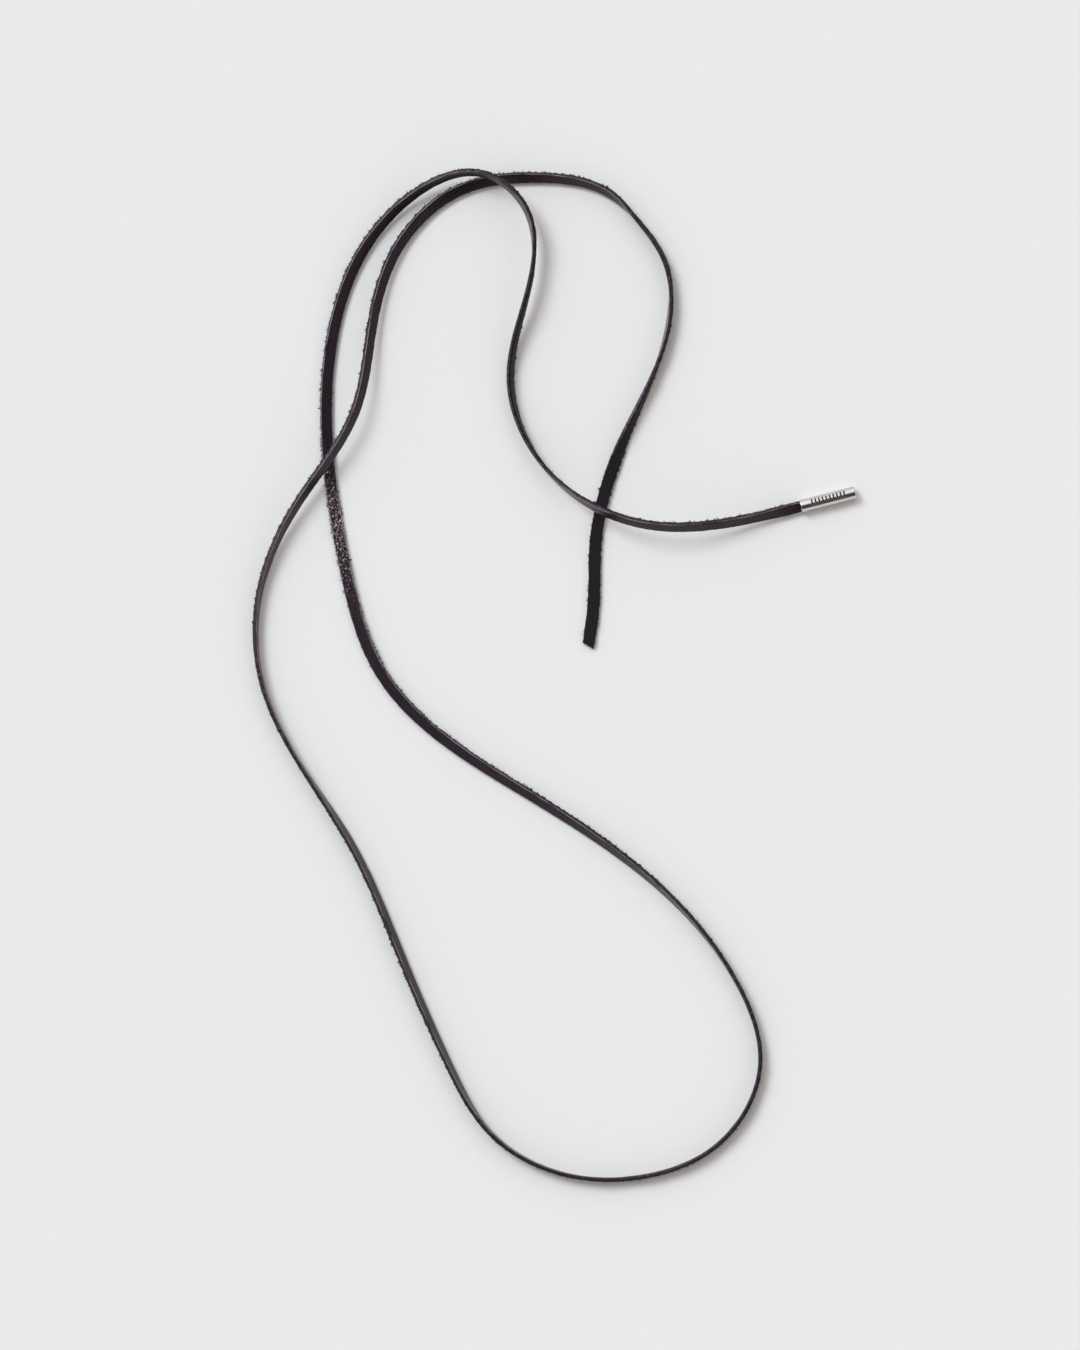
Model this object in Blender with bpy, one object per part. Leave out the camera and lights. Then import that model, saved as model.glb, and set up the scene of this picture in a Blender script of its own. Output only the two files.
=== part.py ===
"""A flat leather lace about one metre long, laid down in open loops, with a round metal tube on one end.

The lace lies on the ground z = 0. From its bare end it goes once round the loops, and where it meets
itself it passes over or under in a long low hump. It twists on the way: it lies flat in some stretches
and leans over, or stands on its edge, in others. Its last few millimetres sit in the tube.
Metres, +Z up. The origin is the middle of the ground that the necklace covers.
"""

import math

import bmesh
import bpy
import numpy as np
from mathutils import Matrix, Vector

# Lace
lace_width = 0.0031
lace_thickness = 0.0011
lace_corner = 0.00015  # flattening of the four long corners
lace_sections = 150
end_cut_angle = math.radians(22)  # slant of the bare end's cut

# Tube on the other end
tube_diameter = 0.0033
tube_length = 0.0146
tube_wall = 0.0003
bore_depth = 0.0080
rim_rounding = 0.00012
tube_sides = 32

fit_gap = 0.0003  # clear space between the lace and the tube all round

# Sections lie closer together where the lace bends, and no further apart than on a bend this wide
widest_bend = 0.120

# The lace's route, from the bare end to the mouth of the tube.
# x and y: its middle, in metres.
# lean: the way its smooth side faces, in degrees from straight up, positive to the left of the route;
#       at 180 the suede side is up, at 90 the lace stands on its edge.
# lift: clear height under the lace, in lace widths; the last one follows from the tube's axis instead.
ROUTE = (
    (0.0087, 0.0079, 180, 0.00),
    (0.0101, 0.0185, 180, 0.00),
    (0.0105, 0.0325, 180, 0.00),
    (0.0131, 0.0479, 178, 0.00),
    (0.0197, 0.0653, 121, 0.00),
    (0.0295, 0.0910, 82, 0.05),
    (0.0287, 0.1075, 100, 0.13),
    (0.0217, 0.1182, 97, 0.14),
    (0.0150, 0.1248, 67, 0.15),
    (-0.0043, 0.1295, 46, 0.10),
    (-0.0254, 0.1259, 29, 0.05),
    (-0.0410, 0.1108, 40, 0.20),
    (-0.0476, 0.0895, 48, 0.50),
    (-0.0516, 0.0690, 53, 1.10),
    (-0.0662, 0.0456, 60, 0.62),
    (-0.0768, 0.0209, 78, 0.03),
    (-0.0765, 0.0003, 86, 0.00),
    (-0.0683, -0.0194, 88, 0.00),
    (-0.0529, -0.0436, 68, 0.08),
    (-0.0402, -0.0720, 64, 0.12),
    (-0.0267, -0.1026, 70, 0.12),
    (-0.0169, -0.1184, 85, 0.15),
    (0.0040, -0.1297, 93, 0.06),
    (0.0250, -0.1296, 99, 0.00),
    (0.0412, -0.1226, 98, 0.00),
    (0.0533, -0.1013, 92, 0.00),
    (0.0475, -0.0800, 88, 0.00),
    (-0.0038, -0.0324, 45, 0.00),
    (-0.0454, 0.0014, 21, 0.00),
    (-0.0547, 0.0294, 5, 0.00),
    (-0.0571, 0.0913, -25, 0.00),
    (-0.0433, 0.1191, -47, 0.22),
    (-0.0173, 0.1298, -75, 1.14),
    (-0.0077, 0.1215, -76, 1.08),
    (-0.0064, 0.1021, -98, 0.95),
    (-0.0115, 0.0778, -112, 0.00),
    (-0.0037, 0.0556, -93, 0.40),
    (0.0209, 0.0398, -58, 1.80),
    (0.0530, 0.0414, -48, 0.38),
    (0.0639, 0.0441, -30, 0.00),
)

# Sizes worked out from the ones above
tube_radius = tube_diameter / 2
facet_half_angle = math.pi / tube_sides
axis_height = tube_radius * math.cos(facet_half_angle)  # the tube lies on one of its facets
tongue_radius = axis_height - tube_wall - fit_gap
tongue_width = 2 * tongue_radius * math.cos(math.radians(30))
tongue_thickness = min(lace_thickness, 2 * tongue_radius * math.sin(math.radians(30)))


def clear_scene():
    for old in list(bpy.data.objects):
        bpy.data.objects.remove(old)


def make_material(name, colour, roughness, metallic):
    material = bpy.data.materials.new(name)
    material.use_nodes = True
    shader = material.node_tree.nodes["Principled BSDF"]
    shader.inputs["Base Color"].default_value = (*colour, 1)
    shader.inputs["Roughness"].default_value = roughness
    shader.inputs["Metallic"].default_value = metallic
    return material


def dark_leather():
    return make_material("dark_leather", (0.026, 0.021, 0.027), 0.7, 0)


def polished_steel():
    return make_material("polished_steel", (0.62, 0.60, 0.58), 0.18, 1)


def curve_bends(knots, values):
    """Second derivatives, at the knots, of the smoothest curve through the values, straight at its ends."""
    count = len(knots)
    step = np.diff(knots)
    slope = np.diff(values, axis=0) / step[:, None]
    matrix = np.eye(count)
    right = np.zeros_like(values)
    for i in range(1, count - 1):
        matrix[i, i - 1 : i + 2] = step[i - 1], 2 * (step[i - 1] + step[i]), step[i]
        right[i] = 6 * (slope[i] - slope[i - 1])
    return np.linalg.solve(matrix, right)


def spans_at(knots, at):
    """For each place, the number of its span, the span's length and the share of it that lies behind."""
    span = np.clip(np.searchsorted(knots, at) - 1, 0, len(knots) - 2)
    length = (knots[span + 1] - knots[span])[:, None]
    return span, length, (at[:, None] - knots[span][:, None]) / length


def smooth_curve(knots, values, at):
    bends = curve_bends(knots, values)
    span, length, ahead = spans_at(knots, at)
    behind = 1 - ahead
    straight = behind * values[span] + ahead * values[span + 1]
    curved = (behind**3 - behind) * bends[span] + (ahead**3 - ahead) * bends[span + 1]
    return straight + curved * length**2 / 6


def eased_curve(knots, values, at):
    """A curve through the values that never overshoots them, for lean and lift."""
    step = np.diff(knots)[:, None]
    slope = np.diff(values, axis=0) / step
    tangent = np.zeros_like(values)
    same_way = slope[:-1] * slope[1:] > 0
    mean = 2 * slope[:-1] * slope[1:] / np.where(same_way, slope[:-1] + slope[1:], 1)
    tangent[1:-1] = np.where(same_way, mean, 0)
    span, length, t = spans_at(knots, at)
    return (
        (1 + 2 * t) * (1 - t) ** 2 * values[span]
        + t * (1 - t) ** 2 * length * tangent[span]
        + t**2 * (3 - 2 * t) * values[span + 1]
        + t**2 * (t - 1) * length * tangent[span + 1]
    )


def distances(points):
    return np.concatenate([[0], np.cumsum(np.linalg.norm(np.diff(points, axis=0), axis=1))])


def lay_of_lace():
    """Middle (x, y), direction along the ground, lean in radians and lift, for each of the lace's sections."""
    table = np.array(ROUTE, float)
    table[:, 2] = np.radians(table[:, 2])
    table[:, 3] *= lace_width
    table[-1, 3] = max(0, axis_height - half_height(table[-1, 2]))
    knots = distances(table[:, :2])
    fine = np.linspace(0, knots[-1], 40 * len(table))
    points = smooth_curve(knots, table[:, :2], fine)
    run = distances(points)
    heading = np.unwrap(np.arctan2(*np.gradient(points, run, axis=0).T[::-1]))
    bend = np.abs(np.gradient(heading, run))
    closeness = np.sqrt(bend + 1 / widest_bend)
    crowd = np.concatenate([[0], np.cumsum((closeness[1:] + closeness[:-1]) / 2 * np.diff(run))])
    last = np.interp(run[-1] - fit_gap, run, crowd)
    at = np.interp(np.linspace(0, last, lace_sections), crowd, fine)
    middle = smooth_curve(knots, table[:, :2], at)
    heading = np.interp(at, fine, heading)
    lean, lift = eased_curve(knots, table[:, 2:], at).T
    return middle, heading, lean, lift


def strap_profile(width, thickness, corner):
    """Outline of a strap's section, as (across, up) pairs that run counterclockwise."""
    across = width / 2
    up = thickness / 2
    return (
        (across - corner, up),
        (-across + corner, up),
        (-across, up - corner),
        (-across, -up + corner),
        (-across + corner, -up),
        (across - corner, -up),
        (across, -up + corner),
        (across, up - corner),
    )


def half_height(lean):
    """From the ground to the middle of the lace where it lies on the ground with this lean."""
    outline = strap_profile(lace_width, lace_thickness, lace_corner)
    return max(p * math.sin(lean) - q * math.cos(lean) for p, q in outline)


def leaned(outline, heading, lean):
    """The outline stood upright across the route and turned by its lean, as vectors from its middle."""
    left = Vector((-math.sin(heading), math.cos(heading), 0))
    up = Vector((0, 0, 1))
    smooth_side = math.cos(lean) * up + math.sin(lean) * left
    edge_side = math.cos(lean) * left - math.sin(lean) * up
    return [p * edge_side + q * smooth_side for p, q in outline]


def join_rings(bm, first, second):
    count = len(first)
    for i in range(count):
        after = (i + 1) % count
        bm.faces.new((first[i], first[after], second[after], second[i]))


def make_lace():
    outline = strap_profile(lace_width, lace_thickness, lace_corner)
    bm = bmesh.new()
    rings = []
    for middle, heading, lean, lift in zip(*lay_of_lace()):
        offsets = leaned(outline, heading, lean)
        centre = Vector((*middle, lift + half_height(lean)))
        forward = Vector((math.cos(heading), math.sin(heading), 0))
        left = Vector((-forward.y, forward.x, 0))
        slant = 0 if rings else math.tan(end_cut_angle)
        ring = [centre + offset + forward * slant * offset.dot(left) for offset in offsets]
        rings.append([bm.verts.new(point) for point in ring])
    bm.faces.new(rings[0][::-1])
    for first, second in zip(rings, rings[1:]):
        join_rings(bm, first, second)
    join_tongue(bm, rings[-1], Vector((*middle, axis_height)), heading, lean)
    mesh = bpy.data.meshes.new("leather_lace")
    bm.to_mesh(mesh)
    bm.free()
    mesh.shade_smooth()
    mesh.set_sharp_from_angle(angle=math.radians(35))
    mesh.materials.append(dark_leather())
    return bpy.data.objects.new("leather_lace", mesh)


def join_tongue(bm, shoulder, centre, heading, lean):
    """The narrowed end of the lace, from its shoulder at the tube's mouth to near the bore's floor."""
    outline = strap_profile(tongue_width, tongue_thickness, lace_corner)
    forward = Vector((math.cos(heading), math.sin(heading), 0))
    offsets = leaned(outline, heading, lean)
    root = [bm.verts.new(centre + offset) for offset in offsets]
    tip = [bm.verts.new(centre + offset + forward * bore_depth) for offset in offsets]
    join_rings(bm, shoulder, root)
    join_rings(bm, root, tip)
    bm.faces.new(tip)


def tube_place():
    """The tube's own +Z runs from its mouth along the end of the route, and a facet faces the ground."""
    middle, heading, *_ = lay_of_lace()
    forward = Vector((math.cos(heading[-1]), math.sin(heading[-1]), 0))
    mouth = Vector((*middle[-1], axis_height)) + forward * fit_gap
    up = Vector((0, 0, 1))
    turn = Matrix((up.cross(forward), up, forward)).transposed().to_4x4()
    return Matrix.Translation(mouth) @ turn @ Matrix.Rotation(facet_half_angle, 4, "Z")


def make_tube():
    bm = bmesh.new()
    bmesh.ops.create_cone(
        bm,
        cap_ends=True,
        segments=tube_sides,
        radius1=tube_radius,
        radius2=tube_radius,
        depth=tube_length,
        matrix=Matrix.Translation((0, 0, tube_length / 2)),
    )
    mouth = min(bm.faces, key=lambda face: face.calc_center_median().z)
    bmesh.ops.inset_region(bm, faces=[mouth], thickness=tube_wall, use_even_offset=True)
    floor = bmesh.ops.extrude_discrete_faces(bm, faces=[mouth])["faces"][0]
    bmesh.ops.translate(bm, verts=floor.verts, vec=(0, 0, bore_depth))
    mesh = bpy.data.meshes.new("end_tube")
    bm.to_mesh(mesh)
    bm.free()
    mesh.shade_smooth()
    mesh.set_sharp_from_angle(angle=math.radians(35))
    mesh.materials.append(polished_steel())
    tube = bpy.data.objects.new("end_tube", mesh)
    rims = tube.modifiers.new("rims", "BEVEL")
    rims.limit_method = "ANGLE"
    rims.angle_limit = math.radians(60)
    rims.width = rim_rounding
    rims.segments = 2
    tube.matrix_world = tube_place()
    return tube


def main():
    clear_scene()
    necklace = bpy.data.objects.new("necklace", None)
    bpy.context.scene.collection.objects.link(necklace)
    for piece in (make_lace(), make_tube()):
        bpy.context.scene.collection.objects.link(piece)
        piece.parent = necklace


main()
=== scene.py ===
"""The looks of a leather cord necklace: a dark flat lace, suede on one side and smooth grain on the other,
laid down in loose loops on pale paper, with a small polished steel tube on one end. Metres, +Z up.
"""

import math
import bmesh
import bpy
import numpy as np
from mathutils import Matrix, Vector, noise


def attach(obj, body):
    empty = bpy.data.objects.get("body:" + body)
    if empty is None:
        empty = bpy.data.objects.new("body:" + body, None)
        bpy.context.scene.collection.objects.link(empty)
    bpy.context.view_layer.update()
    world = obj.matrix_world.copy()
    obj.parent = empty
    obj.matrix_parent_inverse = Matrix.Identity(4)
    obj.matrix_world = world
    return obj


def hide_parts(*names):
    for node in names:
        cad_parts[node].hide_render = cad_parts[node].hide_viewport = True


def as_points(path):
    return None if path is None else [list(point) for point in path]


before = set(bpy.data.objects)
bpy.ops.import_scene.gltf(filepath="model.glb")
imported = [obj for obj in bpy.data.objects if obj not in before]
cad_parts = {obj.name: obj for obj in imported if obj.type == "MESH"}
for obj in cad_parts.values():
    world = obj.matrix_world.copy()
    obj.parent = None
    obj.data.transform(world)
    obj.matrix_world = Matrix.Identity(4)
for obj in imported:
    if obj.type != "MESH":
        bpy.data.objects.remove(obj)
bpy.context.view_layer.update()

MM = 0.001

# Lace
lace_width = 3.1 * MM
lace_thickness = 1.1 * MM
smooth_corner = 0.22 * MM  # rounding of the two corners beside the smooth side
suede_corner = 0.40 * MM  # rounding of the two corners beside the suede side
lace_sections = 2800
end_cut_angle = math.radians(22)
fit_gap = 0.3 * MM
pinch_length = 2.2 * MM  # the last stretch, where the lace is squeezed towards the tube's mouth
pinch_width = 0.94  # share of its width that is left at the mouth
width_wander = 0.02  # slow changes of the lace's width, as a share of it
edge_wander = 0.07 * MM  # small unevenness of the cut edges
nap_wander = 0.15 * MM  # lumps of the suede side's corners
ragged_length = 0.9 * MM  # over which the cut edges' unevenness changes
wander_length = 9 * MM  # over which the width changes
above_paper = 0.01 * MM  # least height of any point of the lace

# Nap of the suede side: tufts of hairs along its two corners, and single hairs all over
tufts = 7000
hairs_in_tuft = 8
single_hairs = 20000
tuft_spread = 0.14 * MM
hair_length = 0.72 * MM
hair_width = 0.10 * MM  # coarser than real fibres, so that they show at this distance
hair_lean = 0.45  # how far the hairs lean each way, as a share of their length
hair_root = 0.04 * MM  # depth of their roots under the skin
single_hair_size = 0.25  # of the longest hair in a tuft
bald_sections = 12  # next to the tube's mouth

# Tube
tube_diameter = 3.3 * MM
tube_length = 14.6 * MM
tube_wall = 0.3 * MM
tube_facets = 32  # of the plain solid, which lies on one of them
bore_depth = 8.0 * MM
mouth_rounding = 0.10 * MM
end_rounding = 0.22 * MM
tube_sides = 128

# Row of engraved ticks along the top of the tube
ticks_from = 2.6 * MM
ticks_to = 12.2 * MM
tick_spacing = 0.96 * MM
tick_width = 0.42 * MM
tick_length = 1.7 * MM
ticks_turn = 0.35 * MM  # how far the row lies round from the top, towards the key light

# Photograph
photo_height = 1350
mm_per_pixel = 0.26
photo_middle = (-3.8 * MM, 0.3 * MM)
camera_height = 1.5
paper_side = 4.0
sensor_height = 36  # of the long side, in mm

# Light. Compass angles are counterclockwise from +X, heights are above the paper.
key_compass = math.radians(135)
key_height = math.radians(45)
key_breadth = math.radians(24)
key_strength = 1.70
key_colour = (0.90, 0.985, 1.04)
softbox_compass = math.radians(118)  # of the softbox's soft outer part
softbox_height = math.radians(42)
softbox_full = math.radians(24)  # it is at full strength this far from its middle
softbox_reach = math.radians(50)  # and gone this far from it
softbox_radiance = 0.62
rig_compass = math.radians(284)  # the dark camera and its stand
rig_height = math.radians(63)
rig_full = math.radians(27)
rig_reach = math.radians(40)
rig_darkness = 0.88
wall_radiance = 0.42  # of the pale walls near the floor, on top of the room's own
wall_top = 0.40  # as the sine of the height where they end
wall_full = math.radians(60)  # they are bright this far round from the camera's side
wall_reach = math.radians(110)  # and dim from here on, behind the softbox
room_colour = (0.643, 0.599, 0.573)

# The lace's route, from the bare end to the mouth of the tube.
# x and y: its middle, in metres.
# lean: the way its smooth side faces, in degrees from straight up, positive to the left of the route.
# lift: clear height under the lace, in lace widths; the last one follows from the tube's axis instead.
ROUTE = (
    (0.0087, 0.0079, 180, 0.00),
    (0.0101, 0.0185, 180, 0.00),
    (0.0105, 0.0325, 180, 0.00),
    (0.0131, 0.0479, 178, 0.00),
    (0.0197, 0.0653, 121, 0.00),
    (0.0295, 0.0910, 82, 0.05),
    (0.0287, 0.1075, 100, 0.13),
    (0.0217, 0.1182, 97, 0.14),
    (0.0150, 0.1248, 67, 0.15),
    (-0.0043, 0.1295, 46, 0.10),
    (-0.0254, 0.1259, 29, 0.05),
    (-0.0410, 0.1108, 40, 0.20),
    (-0.0476, 0.0895, 48, 0.50),
    (-0.0516, 0.0690, 53, 1.10),
    (-0.0662, 0.0456, 60, 0.62),
    (-0.0768, 0.0209, 78, 0.03),
    (-0.0765, 0.0003, 86, 0.00),
    (-0.0683, -0.0194, 88, 0.00),
    (-0.0529, -0.0436, 68, 0.08),
    (-0.0402, -0.0720, 64, 0.12),
    (-0.0267, -0.1026, 70, 0.12),
    (-0.0169, -0.1184, 85, 0.15),
    (0.0040, -0.1297, 93, 0.06),
    (0.0250, -0.1296, 99, 0.00),
    (0.0412, -0.1226, 98, 0.00),
    (0.0533, -0.1013, 92, 0.00),
    (0.0475, -0.0800, 88, 0.00),
    (-0.0038, -0.0324, 45, 0.00),
    (-0.0454, 0.0014, 21, 0.00),
    (-0.0547, 0.0294, 5, 0.00),
    (-0.0571, 0.0913, -25, 0.00),
    (-0.0433, 0.1191, -47, 0.22),
    (-0.0173, 0.1298, -75, 1.14),
    (-0.0077, 0.1215, -76, 1.08),
    (-0.0064, 0.1021, -98, 0.95),
    (-0.0115, 0.0778, -112, 0.00),
    (-0.0037, 0.0556, -93, 0.40),
    (0.0209, 0.0398, -58, 1.80),
    (0.0530, 0.0414, -48, 0.38),
    (0.0639, 0.0441, -30, 0.00),
)

# How creased and rubbed the smooth side is, from 0 to 1, at shares of the lace's length from the bare end
WEAR = (
    (0.000, 0.15),
    (0.240, 0.30),
    (0.300, 0.10),
    (0.660, 0.10),
    (0.685, 0.20),
    (0.700, 0.45),
    (0.715, 0.85),
    (0.730, 1.00),
    (0.742, 0.80),
    (0.752, 0.40),
    (0.775, 0.25),
    (0.800, 0.10),
    (1.000, 0.10),
)

tube_radius = tube_diameter / 2
axis_height = tube_radius * math.cos(math.pi / tube_facets)


def linear_colour(hex_code):
    """An sRGB hex colour as the linear colour that the shaders take."""
    channels = [int(hex_code[i : i + 2], 16) / 255 for i in (1, 3, 5)]
    return tuple(c / 12.92 if c <= 0.04045 else ((c + 0.055) / 1.055) ** 2.4 for c in channels) + (1,)


def distances(points):
    return np.concatenate([[0], np.cumsum(np.linalg.norm(np.diff(points, axis=0), axis=1))])


def curve_bends(knots, values):
    """Second derivatives, at the knots, of the smoothest curve through the values, straight at its ends."""
    step = np.diff(knots)
    slope = np.diff(values, axis=0) / step[:, None]
    matrix = np.eye(len(knots))
    right = np.zeros_like(values)
    for i in range(1, len(knots) - 1):
        matrix[i, i - 1 : i + 2] = step[i - 1], 2 * (step[i - 1] + step[i]), step[i]
        right[i] = 6 * (slope[i] - slope[i - 1])
    return np.linalg.solve(matrix, right)


def spans_at(knots, at):
    """For each place, the number of its span, the span's length and the share of it that lies behind."""
    span = np.clip(np.searchsorted(knots, at) - 1, 0, len(knots) - 2)
    length = (knots[span + 1] - knots[span])[:, None]
    return span, length, (at[:, None] - knots[span][:, None]) / length


def smooth_curve(knots, values, at):
    bends = curve_bends(knots, values)
    span, length, ahead = spans_at(knots, at)
    behind = 1 - ahead
    straight = behind * values[span] + ahead * values[span + 1]
    curved = (behind**3 - behind) * bends[span] + (ahead**3 - ahead) * bends[span + 1]
    return straight + curved * length**2 / 6


def eased_curve(knots, values, at):
    """A curve through the values that never overshoots them, for lean and lift."""
    step = np.diff(knots)[:, None]
    slope = np.diff(values, axis=0) / step
    tangent = np.zeros_like(values)
    same_way = slope[:-1] * slope[1:] > 0
    mean = 2 * slope[:-1] * slope[1:] / np.where(same_way, slope[:-1] + slope[1:], 1)
    tangent[1:-1] = np.where(same_way, mean, 0)
    span, length, t = spans_at(knots, at)
    return (
        (1 + 2 * t) * (1 - t) ** 2 * values[span]
        + t * (1 - t) ** 2 * length * tangent[span]
        + t**2 * (3 - 2 * t) * values[span + 1]
        + t**2 * (t - 1) * length * tangent[span + 1]
    )


def half_height(lean):
    """From the paper to the middle of the lace where it lies on the paper with this lean."""
    return (lace_width * np.abs(np.sin(lean)) + lace_thickness * np.abs(np.cos(lean))) / 2


def lay_of_lace():
    """Place along the lace, middle, heading and lean of each section, evenly spaced from the bare end."""
    table = np.array(ROUTE, float)
    table[:, 2] = np.radians(table[:, 2])
    table[:, 3] *= lace_width
    table[-1, 3] = axis_height - half_height(table[-1, 2])
    knots = distances(table[:, :2])
    fine = np.linspace(0, knots[-1], 4000)
    points = smooth_curve(knots, table[:, :2], fine)
    run = distances(points)
    heading = np.unwrap(np.arctan2(*np.gradient(points, run, axis=0).T[::-1]))
    place = np.linspace(0, run[-1] - 0.1 * fit_gap, lace_sections)
    at = np.interp(place, run, fine)
    lean, lift = eased_curve(knots, table[:, 2:], at).T
    middle = np.column_stack([smooth_curve(knots, table[:, :2], at), lift + half_height(lean)])
    return place, middle, np.interp(place, run, heading), lean


def lace_outline():
    """The lace's section, counterclockwise from the middle of its smooth side: across and up, in metres."""
    across = lace_width / 2
    up = lace_thickness / 2
    points = []
    points += [(x * (across - smooth_corner), up) for x in np.linspace(0, -1, 4)[:-1]]
    points += rounded(-across, up, smooth_corner, 90, 180)
    points += rounded(-across, -up, suede_corner, 180, 270)
    points += [(x * (across - suede_corner), -up) for x in np.linspace(-1, 1, 10)[1:-1]]
    points += rounded(across, -up, suede_corner, 270, 360)
    points += rounded(across, up, smooth_corner, 0, 90)
    points += [(x * (across - smooth_corner), up) for x in np.linspace(1, 0, 4)[1:-1]]
    return np.array(points)


def rounded(across, up, radius, start, end):
    """Four points round a corner of the section."""
    middle = (across - math.copysign(radius, across), up - math.copysign(radius, up))
    angles = np.radians(np.linspace(start, end, 4))
    return [(middle[0] + radius * math.cos(a), middle[1] + radius * math.sin(a)) for a in angles]


def wander(seed, place, size):
    """A slow random line, between about -1 and 1, that changes over the given length."""
    return np.array([noise.noise(Vector((p / size, seed * 7.31, 0.5))) for p in place]) * 1.6


def lace_rings(place, middle, heading, lean):
    """The lace's surface as an array of rings of points, one ring for each section."""
    outline = lace_outline()
    zero = np.zeros_like(heading)
    left = np.column_stack([-np.sin(heading), np.cos(heading), zero])
    forward = np.column_stack([np.cos(heading), np.sin(heading), zero])
    up = np.array([0.0, 0.0, 1.0])
    smooth_side = np.cos(lean)[:, None] * up + np.sin(lean)[:, None] * left
    edge_side = np.cos(lean)[:, None] * left - np.sin(lean)[:, None] * up
    to_mouth = np.clip((place[-1] - place) / pinch_length, 0, 1)
    pinch = pinch_width + (1 - pinch_width) * np.sin(to_mouth * math.pi / 2)
    width = (1 + width_wander * wander(1, place, wander_length)) * pinch
    across = outline[:, 0][None, :] * width[:, None]
    ragged = np.array([wander(3 + side, place, ragged_length) for side in (0, 1)]) * edge_wander
    across = across + np.where(outline[:, 0] > 0, ragged[0][:, None], -ragged[1][:, None]) * (
        np.abs(outline[:, 0]) > 0.9 * lace_width / 2
    )
    rings = middle[:, None] + across[..., None] * edge_side[:, None]
    rings = rings + outline[:, 1][None, :, None] * smooth_side[:, None]
    lumps = nap_lumps(place, outline)
    rings = rings + (lumps * np.sign(outline[:, 0]))[..., None] * edge_side[:, None]
    rings = rings - lumps[..., None] * smooth_side[:, None]
    cut = np.tan(end_cut_angle) * np.einsum("ij,j->i", rings[0] - middle[0], left[0])
    fade = np.clip(1 - place / (3 * lace_width), 0, 1)
    rings = rings + fade[:, None, None] * cut[None, :, None] * forward[:, None]
    rings[..., 2] = np.maximum(rings[..., 2], above_paper)
    return rings


def nap_lumps(place, outline):
    """How far each point of the suede side's two corners stands out, or in where it is below 0."""
    lumps = np.zeros((len(place), len(outline)))
    for column in np.flatnonzero(outline[:, 1] < -lace_thickness / 2 + 1.5 * suede_corner):
        across = outline[column, 0]
        if abs(across) > 0.8 * lace_width / 2:
            field = [noise.noise(Vector((p / (0.7 * MM), across / (0.5 * MM), 4.2))) for p in place]
            lumps[:, column] = np.array(field) * nap_wander
    return lumps


def mesh_of_rings(name, rings):
    """A closed skin over the rings, with a flat cap at each end."""
    count, around = rings.shape[:2]
    index = np.arange(count * around).reshape(count, around)
    after = np.roll(index, -1, axis=1)
    quads = np.stack([index[:-1], after[:-1], after[1:], index[1:]], axis=-1).reshape(-1, 4)
    faces = quads.tolist()
    faces.append(index[0, ::-1].tolist())
    faces.append(index[-1].tolist())
    mesh = bpy.data.meshes.new(name)
    mesh.from_pydata(rings.reshape(-1, 3).tolist(), [], faces)
    mesh.shade_smooth()
    return mesh


def add_lay_coordinates(mesh, place, outline):
    """Coordinates that run along the lace and round it, in metres, for grain and scratches."""
    round_it = distances(np.vstack([outline, outline[:1]]))
    around = len(outline)
    count = len(place)
    u = np.stack([place[:-1], place[:-1], place[1:], place[1:]], axis=-1)
    u = np.repeat(u[:, None], around, axis=1)
    v = np.stack([round_it[:-1], round_it[1:], round_it[1:], round_it[:-1]], axis=-1)
    v = np.repeat(v[None], count - 1, axis=0)
    sides = np.stack([u, v], axis=-1).reshape(-1)
    caps = np.tile(outline, (2, 1)).reshape(-1)
    layer = mesh.uv_layers.new(name="lay")
    layer.data.foreach_set("uv", np.concatenate([sides, caps]))


def add_wear(mesh, place, around):
    """How creased the smooth side is at each point, read from the table of wear."""
    shares, amounts = np.array(WEAR).T
    worn = np.interp(place / place[-1], shares, amounts)
    layer = mesh.attributes.new("wear", "FLOAT", "POINT")
    layer.data.foreach_set("value", np.repeat(worn, around))


def paint_lace(mesh, outline, count):
    """The smooth side, the cut edges and the suede side take their own material."""
    up = lace_thickness / 2
    after = np.roll(outline, -1, axis=0)
    both_smooth = (outline[:, 1] > up - smooth_corner) & (after[:, 1] > up - smooth_corner)
    both_suede = (outline[:, 1] < -up + suede_corner) & (after[:, 1] < -up + suede_corner)
    slot = np.where(both_smooth, 0, np.where(both_suede, 1, 2))
    slots = np.concatenate([np.tile(slot, count - 1), [2, 2]])
    for material in (grain_leather(), suede_leather(), cut_leather()):
        mesh.materials.append(material)
    mesh.polygons.foreach_set("material_index", slots)


def make_lace():
    place, middle, heading, lean = lay_of_lace()
    outline = lace_outline()
    rings = lace_rings(place, middle, heading, lean)
    mesh = mesh_of_rings("lace", rings)
    add_lay_coordinates(mesh, place, outline)
    add_wear(mesh, place, len(outline))
    paint_lace(mesh, outline, len(place))
    lace = bpy.data.objects.new("lace", mesh)
    bpy.context.scene.collection.objects.link(lace)
    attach(lace, "root")
    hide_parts("leather_lace")
    return lace, rings, middle, outline


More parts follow.
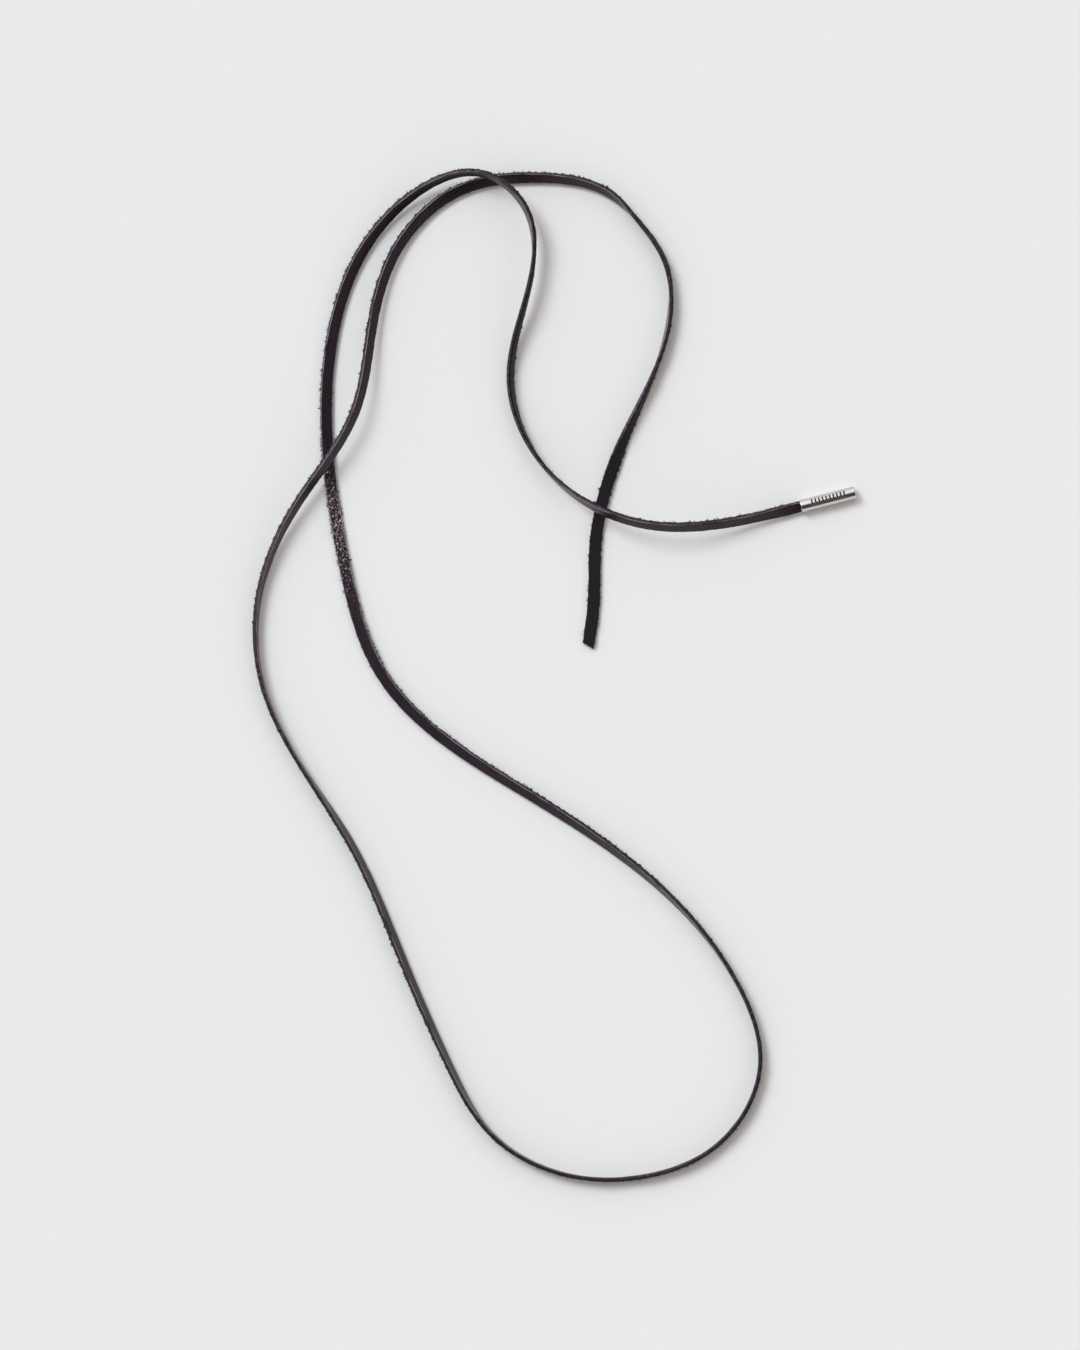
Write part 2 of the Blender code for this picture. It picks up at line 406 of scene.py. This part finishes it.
def make_nap(rings, outline):
    """Short dark hairs: tufts along the suede side's two corners, and single hairs over that side."""
    chance = np.random.default_rng(5)
    across = outline[:, 0]
    suede = outline[:, 1] < -lace_thickness / 2 + suede_corner
    corners = np.flatnonzero(suede & (np.abs(across) > lace_width / 2 - suede_corner))
    last = len(rings) - bald_sections
    tuft_ring = np.repeat(chance.integers(1, last, tufts), hairs_in_tuft)
    tuft_column = np.repeat(chance.choice(corners, tufts), hairs_in_tuft)
    tuft_size = np.repeat(chance.uniform(0.3, 1, tufts) ** 3, hairs_in_tuft)
    ring = np.concatenate([tuft_ring, chance.integers(1, last, single_hairs)])
    column = np.concatenate([tuft_column, chance.choice(np.flatnonzero(suede), single_hairs)])
    size = np.concatenate([tuft_size, np.full(single_hairs, single_hair_size)])
    hairs = len(ring)
    root = rings[ring, column]
    out = root - rings[ring].mean(axis=1)
    out /= np.linalg.norm(out, axis=1)[:, None]
    along = rings[ring + 1, column] - rings[ring - 1, column]
    along /= np.linalg.norm(along, axis=1)[:, None]
    root = root + chance.normal(0, tuft_spread, hairs)[:, None] * along - hair_root * out
    lie = out + chance.normal(0, hair_lean, (hairs, 3))
    tip = root + lie * (hair_length * size * chance.uniform(0.4, 1, hairs))[:, None]
    tip[:, 2] = np.maximum(tip[:, 2], 2 * above_paper)
    half = along * hair_width / 2
    points = np.stack([root - half, root + half, tip], axis=1)
    points[..., 2] = np.maximum(points[..., 2], above_paper)
    mesh = bpy.data.meshes.new("nap")
    mesh.from_pydata(points.reshape(-1, 3).tolist(), [], np.arange(3 * hairs).reshape(-1, 3).tolist())
    mesh.materials.append(nap_fibre())
    nap = bpy.data.objects.new("suede_nap", mesh)
    bpy.context.scene.collection.objects.link(nap)
    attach(nap, "root")
    return nap


def tube_profile():
    """Half section of the tube, from the middle of the bore's floor round the mouth to the far end."""
    bore = tube_radius - tube_wall
    profile = [(0, bore_depth), (bore, bore_depth)]
    for radius, sign in ((bore, 1), (tube_radius, -1)):
        angles = np.radians(np.linspace(0, 90, 6))
        rounding = [
            (radius + sign * mouth_rounding * (1 - math.cos(a)), mouth_rounding * (1 - math.sin(a)))
            for a in angles
        ]
        profile += rounding if sign > 0 else rounding[::-1]
    for a in np.radians(np.linspace(0, 90, 8)):
        profile.append(
            (
                tube_radius - end_rounding * (1 - math.cos(a)),
                tube_length - end_rounding * (1 - math.sin(a)),
            )
        )
    profile.append((0, tube_length))
    return profile


def make_tube(mouth, heading):
    profile = tube_profile()
    angles = np.linspace(0, 2 * math.pi, tube_sides, endpoint=False)
    inner = np.array(profile[1:-1])
    around = np.stack([np.cos(angles), np.sin(angles)], axis=-1)
    rings = np.concatenate(
        [
            inner[:, None, :1] * around[None],
            np.broadcast_to(inner[:, None, 1:], (len(inner), tube_sides, 1)),
        ],
        axis=-1,
    )
    index = np.arange(rings.shape[0] * tube_sides).reshape(-1, tube_sides)
    after = np.roll(index, -1, axis=1)
    faces = np.stack([index[:-1], index[1:], after[1:], after[:-1]], axis=-1).reshape(-1, 4).tolist()
    faces.append(index[0].tolist())
    faces.append(index[-1, ::-1].tolist())
    mesh = bpy.data.meshes.new("tube")
    mesh.from_pydata(rings.reshape(-1, 3).tolist(), [], faces)
    add_tube_coordinates(mesh)
    bm = bmesh.new()
    bm.from_mesh(mesh)
    bmesh.ops.recalc_face_normals(bm, faces=bm.faces)
    bm.to_mesh(mesh)
    bm.free()
    mesh.shade_smooth()
    mesh.set_sharp_from_angle(angle=math.radians(50))
    mesh.materials.append(polished_steel())
    tube = bpy.data.objects.new("tube", mesh)
    forward = Vector((math.cos(heading), math.sin(heading), 0))
    up = Vector((0, 0, 1))
    turn = Matrix((up.cross(forward), up, forward)).transposed().to_4x4()
    mesh.transform(Matrix.Translation(mouth) @ turn)
    bpy.context.scene.collection.objects.link(tube)
    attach(tube, "root")
    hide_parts("end_tube")
    return tube


def add_tube_coordinates(mesh):
    """Coordinates that run along the tube and round it from its top, in metres, for the engraved ticks."""
    layer = mesh.uv_layers.new(name="lay")
    for face in mesh.polygons:
        turns = [math.atan2(mesh.vertices[i].co.x, mesh.vertices[i].co.y) for i in face.vertices]
        crossing = max(turns) - min(turns) > math.pi
        for loop, turn in zip(face.loop_indices, turns):
            if crossing and turn < 0:
                turn += 2 * math.pi
            point = mesh.vertices[mesh.loops[loop].vertex_index].co
            layer.data[loop].uv = (point.z, turn * tube_radius)


def add_node(tree, kind, inputs=None, output=0, **settings):
    """Adds a node with its settings, joins its inputs to values or to other nodes, and gives its output."""
    node = tree.nodes.new(kind)
    for key, value in settings.items():
        setattr(node, key, value)
    for key, value in (inputs or {}).items():
        if isinstance(value, bpy.types.NodeSocket):
            tree.links.new(value, node.inputs[key])
        else:
            node.inputs[key].default_value = value
    return node.outputs[output]


def new_material(name, values):
    """A material with these uniform values on its shader, and the functions that add its patterns."""
    material = bpy.data.materials.new(name)
    material.use_nodes = True
    tree = material.node_tree
    shader = tree.nodes["Principled BSDF"]
    for key, value in values.items():
        shader.inputs[key].default_value = value

    def add(kind, inputs=None, output=0, **settings):
        return add_node(tree, kind, inputs, output, **settings)

    def join(source, name):
        tree.links.new(source, shader.inputs[name])

    return material, add, join


def held_range(value, low, high, to_low, to_high):
    """Inputs that stretch the value's range from low to high to another one and hold it at its ends."""
    return {"Value": value, "From Min": low, "From Max": high, "To Min": to_low, "To Max": to_high}


def lengthwise(add, along, across):
    """The lay coordinates, scaled so that a pattern is this long along the lace and this wide across it."""
    lay = add("ShaderNodeUVMap", uv_map="lay")
    return add("ShaderNodeMapping", {"Vector": lay, "Scale": (1 / along, 1 / across, 1)})


def patches(add, along, across, detail=2, distortion=0):
    """Soft random patches, this long and this wide on the lace."""
    where = lengthwise(add, along, across)
    inputs = {"Vector": where, "Scale": 1, "Detail": detail, "Distortion": distortion}
    return add("ShaderNodeTexNoise", inputs)


def painted_corner_highlight(add):
    """1 on the smooth side's two corners, where a pale line is painted as the highlight that they catch, and
    0 elsewhere.
    """
    lay = add("ShaderNodeUVMap", uv_map="lay")
    round_it = add("ShaderNodeSeparateXYZ", {0: lay}, "Y")
    outline = lace_outline()
    girth = distances(np.vstack([outline, outline[:1]]))[-1]
    from_middle = add("ShaderNodeMath", {0: round_it, 1: girth / 2}, operation="PINGPONG")
    corner = lace_width / 2 - smooth_corner * (1 - math.pi / 4)
    off = add("ShaderNodeMath", {0: from_middle, 1: corner}, operation="SUBTRACT")
    off = add("ShaderNodeMath", {0: off}, operation="ABSOLUTE")
    return add("ShaderNodeMapRange", held_range(off, 0.05 * MM, 0.16 * MM, 1, 0))


def grain_leather():
    """Full-grain cowhide, dyed through and lightly polished: a satin, nearly black purple-brown with a fine
    pebble, lengthwise scuffs that catch the light, pale crossing creases where it has been bent hard, and a
    painted highlight: a broken pale line along the smooth side's two corners."""
    material, add, join = new_material(
        "full_grain_leather",
        {
            "IOR": 1.5,
            "Specular IOR Level": 0.29,
            "Specular Tint": linear_colour("#FFDFF4"),
            "Sheen Weight": 0.09,
            "Sheen Roughness": 0.25,
            "Sheen Tint": linear_colour("#F8AECB"),
        },
    )
    cloudy = patches(add, 6 * MM, 2 * MM)
    inputs = {0: cloudy, 6: linear_colour("#100E13"), 7: linear_colour("#1C1820")}
    body = add("ShaderNodeMix", inputs, 2, data_type="RGBA")
    speckle = patches(add, 0.45 * MM, 0.3 * MM)
    speckle = add("ShaderNodeMapRange", held_range(speckle, 0.35, 0.7, 0, 0.5))
    body = add("ShaderNodeMix", {0: speckle, 6: body, 7: linear_colour("#29242C")}, 2, data_type="RGBA")
    scuffs = patches(add, 5 * MM, 0.3 * MM)
    scuffs = add("ShaderNodeMapRange", held_range(scuffs, 0.58, 0.72, 0, 0.35))
    body = add("ShaderNodeMix", {0: scuffs, 6: body, 7: linear_colour("#49424A")}, 2, data_type="RGBA")
    # Painted highlight: a pale line, broken into pieces, painted along the smooth side's two corners.
    broken = patches(add, 7 * MM, 9 * MM, 4)
    broken = add("ShaderNodeMapRange", held_range(broken, 0.35, 0.5, 0, 0.9))
    line = add("ShaderNodeMath", {0: painted_corner_highlight(add), 1: broken}, operation="MULTIPLY")
    body = add("ShaderNodeMix", {0: line, 6: body, 7: linear_colour("#9A8F98")}, 2, data_type="RGBA")
    wear = add("ShaderNodeAttribute", output="Fac", attribute_name="wear")
    crease = patches(add, 0.58 * MM, 0.46 * MM, 3, 1.0)
    bare = add("ShaderNodeMapRange", held_range(wear, 0.15, 1, 0.81, 0.52))
    pale = add("ShaderNodeMath", {0: crease, 1: bare}, operation="SUBTRACT")
    pale = add("ShaderNodeMapRange", held_range(pale, 0, 0.1, 0, 1))
    body = add("ShaderNodeMix", {0: pale, 6: body, 7: linear_colour("#B2A9A9")}, 2, data_type="RGBA")
    join(body, "Base Color")
    pebble = patches(add, 0.5 * MM, 0.5 * MM, 3)
    join(add("ShaderNodeMapRange", held_range(pebble, 0, 1, 0.18, 0.38)), "Roughness")
    deep = add("ShaderNodeMath", {0: wear, 1: 2.0}, operation="MULTIPLY")
    depth = add("ShaderNodeMath", {0: crease, 1: deep, 2: pebble}, operation="MULTIPLY_ADD")
    inputs = {"Height": depth, "Strength": 0.35, "Distance": 0.12 * MM}
    join(add("ShaderNodeBump", inputs), "Normal")
    return material


def suede_leather():
    """The flesh side of the hide, sanded to a nap: matt and almost black, mottled where the hairs lie
    different ways, with a faint soft sheen."""
    material, add, join = new_material(
        "suede",
        {
            "Roughness": 0.95,
            "Specular IOR Level": 0.15,
            "Sheen Weight": 0.20,
            "Sheen Tint": linear_colour("#E2D6F0"),
        },
    )
    nap = patches(add, 0.6 * MM, 0.45 * MM, 4)
    mottled = add("ShaderNodeMapRange", held_range(nap, 0.3, 0.7, 0, 1))
    inputs = {0: mottled, 6: linear_colour("#110E12"), 7: linear_colour("#262227")}
    join(add("ShaderNodeMix", inputs, 2, data_type="RGBA"), "Base Color")
    inputs = {"Height": nap, "Strength": 0.8, "Distance": 0.15 * MM}
    join(add("ShaderNodeBump", inputs), "Normal")
    return material


def cut_leather():
    """The cut edge of dyed hide: fibrous, nearly black, pressed smooth enough to catch the light at a
    shallow angle, with fine lengthwise strands."""
    material, add, join = new_material(
        "cut_hide_edge",
        {
            "Roughness": 0.45,
            "Specular IOR Level": 0.62,
            "Specular Tint": linear_colour("#FAE0EE"),
        },
    )
    strands = patches(add, 2.5 * MM, 0.22 * MM, 3)
    bright = add("ShaderNodeMapRange", held_range(strands, 0.3, 0.75, 0, 1))
    inputs = {0: bright, 6: linear_colour("#0B090C"), 7: linear_colour("#211D23")}
    join(add("ShaderNodeMix", inputs, 2, data_type="RGBA"), "Base Color")
    inputs = {"Height": strands, "Strength": 0.6, "Distance": 0.08 * MM}
    join(add("ShaderNodeBump", inputs), "Normal")
    return material


def nap_fibre():
    """Loose fibres of the suede: matt black, too fine to show any gloss."""
    material, add, join = new_material("suede_fibre", {"Roughness": 1.0, "Specular IOR Level": 0.1})
    place = add("ShaderNodeTexCoord", output="Object")
    shade = add("ShaderNodeTexNoise", {"Vector": place, "Scale": 1 / (2 * MM)})
    inputs = {0: shade, 6: linear_colour("#131015"), 7: linear_colour("#2E2930")}
    join(add("ShaderNodeMix", inputs, 2, data_type="RGBA"), "Base Color")
    return material


def engraved_ticks(add):
    """1 in the engraved strokes along the tube and 0 elsewhere."""
    lay = add("ShaderNodeUVMap", uv_map="lay")
    along = add("ShaderNodeSeparateXYZ", {0: lay}, "X")
    round_it = add("ShaderNodeSeparateXYZ", {0: lay}, "Y")
    step = add("ShaderNodeMath", {0: along, 1: ticks_from}, operation="SUBTRACT")
    step = add("ShaderNodeMath", {0: step, 1: tick_spacing, 2: 0.0}, operation="WRAP")
    off = add("ShaderNodeMath", {0: step, 1: tick_spacing / 2}, operation="SUBTRACT")
    off = add("ShaderNodeMath", {0: off}, operation="ABSOLUTE")
    stroke = add("ShaderNodeMapRange", held_range(off, 0.4 * tick_width, 0.6 * tick_width, 1, 0))
    row = add("ShaderNodeMath", {0: round_it, 1: ticks_turn}, operation="SUBTRACT")
    row = add("ShaderNodeMath", {0: row}, operation="ABSOLUTE")
    inside = add("ShaderNodeMapRange", held_range(row, 0.45 * tick_length, 0.55 * tick_length, 1, 0))
    reach = add("ShaderNodeMath", {0: along, 1: (ticks_from + ticks_to) / 2}, operation="SUBTRACT")
    reach = add("ShaderNodeMath", {0: reach}, operation="ABSOLUTE")
    half = (ticks_to - ticks_from) / 2
    between = add("ShaderNodeMapRange", held_range(reach, half, half + 0.01 * MM, 1, 0))
    inside = add("ShaderNodeMath", {0: inside, 1: between}, operation="MULTIPLY")
    return add("ShaderNodeMath", {0: stroke, 1: inside}, operation="MULTIPLY")


def polished_steel():
    """Stainless steel, turned and polished: bright, sharp reflections that faint turning marks soften a
    little, and a row of engraved ticks whose floors are dull and dark."""
    material, add, join = new_material("polished_stainless_steel", {"Metallic": 1.0})
    ticks = engraved_ticks(add)
    inputs = {0: ticks, 6: linear_colour("#CECCCC"), 7: linear_colour("#343131")}
    join(add("ShaderNodeMix", inputs, 2, data_type="RGBA"), "Base Color")
    place = add("ShaderNodeTexCoord", output="Object")
    smear = add("ShaderNodeTexNoise", {"Vector": place, "Scale": 1 / (1.5 * MM), "Detail": 3})
    smear = add("ShaderNodeMapRange", held_range(smear, 0, 1, 0.08, 0.2))
    join(add("ShaderNodeMath", {0: ticks, 1: 0.4, 2: smear}, operation="MULTIPLY_ADD"), "Roughness")
    depth = add("ShaderNodeMath", {0: ticks, 1: -1.0}, operation="MULTIPLY")
    inputs = {"Height": depth, "Strength": 0.6, "Distance": 0.08 * MM}
    join(add("ShaderNodeBump", inputs), "Normal")
    return material


def pale_paper():
    """Smooth pale grey backdrop paper, matt all over."""
    material, add, join = new_material("backdrop_paper", {"Roughness": 0.9, "Specular IOR Level": 0.1})
    place = add("ShaderNodeTexCoord", output="Object")
    tooth = add("ShaderNodeTexNoise", {"Vector": place, "Scale": 1 / (3 * MM)})
    inputs = {0: tooth, 6: linear_colour("#EAEAEA"), 7: linear_colour("#ECECEC")}
    join(add("ShaderNodeMix", inputs, 2, data_type="RGBA"), "Base Color")
    return material


def make_camera():
    data = bpy.data.cameras.new("camera")
    camera = bpy.data.objects.new("camera", data)
    data.sensor_width = sensor_height
    data.lens = sensor_height * camera_height / (photo_height * mm_per_pixel * MM)
    data.clip_start = 0.1
    data.clip_end = 10
    camera.location = (*photo_middle, camera_height)
    bpy.context.scene.collection.objects.link(camera)
    bpy.context.scene.camera = camera


def make_floor():
    half = paper_side / 2
    corners = [(-half, -half, 0), (half, -half, 0), (half, half, 0), (-half, half, 0)]
    mesh = bpy.data.meshes.new("paper")
    mesh.from_pydata(corners, [], [(0, 1, 2, 3)])
    mesh.materials.append(pale_paper())
    floor = bpy.data.objects.new("paper", mesh)
    bpy.context.scene.collection.objects.link(floor)


def direction(compass, height):
    return Vector(
        (math.cos(height) * math.cos(compass), math.cos(height) * math.sin(compass), math.sin(height))
    )


def make_key_light():
    """The softbox's bright middle, at the upper left."""
    key = bpy.data.lights.new("softbox_middle", "SUN")
    key.energy = key_strength
    key.angle = key_breadth
    key.color = key_colour
    lamp = bpy.data.objects.new("softbox_middle", key)
    lamp.rotation_mode = "QUATERNION"
    lamp.rotation_quaternion = direction(key_compass, key_height).to_track_quat("Z", "Y")
    bpy.context.scene.collection.objects.link(lamp)


def make_room():
    """A pale warm room, brighter round the softbox and along its walls, with the dark camera overhead."""
    world = bpy.data.worlds.new("room")
    world.use_nodes = True
    tree = world.node_tree

    def add(kind, inputs=None, output=0, **settings):
        return add_node(tree, kind, inputs, output, **settings)

    way = add("ShaderNodeTexCoord", output="Generated")

    def patch(compass, height, full, reach):
        """1 round this direction, falling softly to 0."""
        inputs = {0: way, 1: direction(compass, height)}
        facing = add("ShaderNodeVectorMath", inputs, "Value", operation="DOT_PRODUCT")
        inputs = held_range(facing, math.cos(reach), math.cos(full), 0, 1)
        return add("ShaderNodeMapRange", inputs, interpolation_type="SMOOTHSTEP")

    softbox = patch(softbox_compass, softbox_height, softbox_full, softbox_reach)
    rig = patch(rig_compass, rig_height, rig_full, rig_reach)
    up = add("ShaderNodeSeparateXYZ", {0: way}, "Z")
    inputs = held_range(up, 0, wall_top, wall_radiance, 0)
    low = add("ShaderNodeMapRange", inputs, interpolation_type="SMOOTHSTEP")
    round_room = patch(rig_compass, 0, wall_full, wall_reach)
    walls = add("ShaderNodeMath", {0: low, 1: round_room}, operation="MULTIPLY")
    inputs = {0: softbox, 1: softbox_radiance, 2: walls}
    extra = add("ShaderNodeMath", inputs, operation="MULTIPLY_ADD")
    pale = add("ShaderNodeVectorMath", {0: room_colour, 1: extra}, operation="ADD")
    share = add("ShaderNodeMath", {0: rig, 1: -rig_darkness, 2: 1.0}, operation="MULTIPLY_ADD")
    colour = add("ShaderNodeVectorMath", {0: pale, "Scale": share}, operation="SCALE")
    tree.links.new(colour, tree.nodes["Background"].inputs["Color"])
    bpy.context.scene.world = world
    bpy.context.scene.view_settings.view_transform = "Standard"


def main():
    make_camera()
    lace, rings, middle, outline = make_lace()
    heading = lay_of_lace()[2][-1]
    mouth = Vector((ROUTE[-1][0], ROUTE[-1][1], axis_height))
    tube = make_tube(mouth, heading)
    path = [tuple(point) for point in middle]
    round(float(distances(middle)[-1]), 3)
    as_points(path[::-1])
    make_nap(rings, outline)
    make_floor()
    make_key_light()
    make_room()


main()
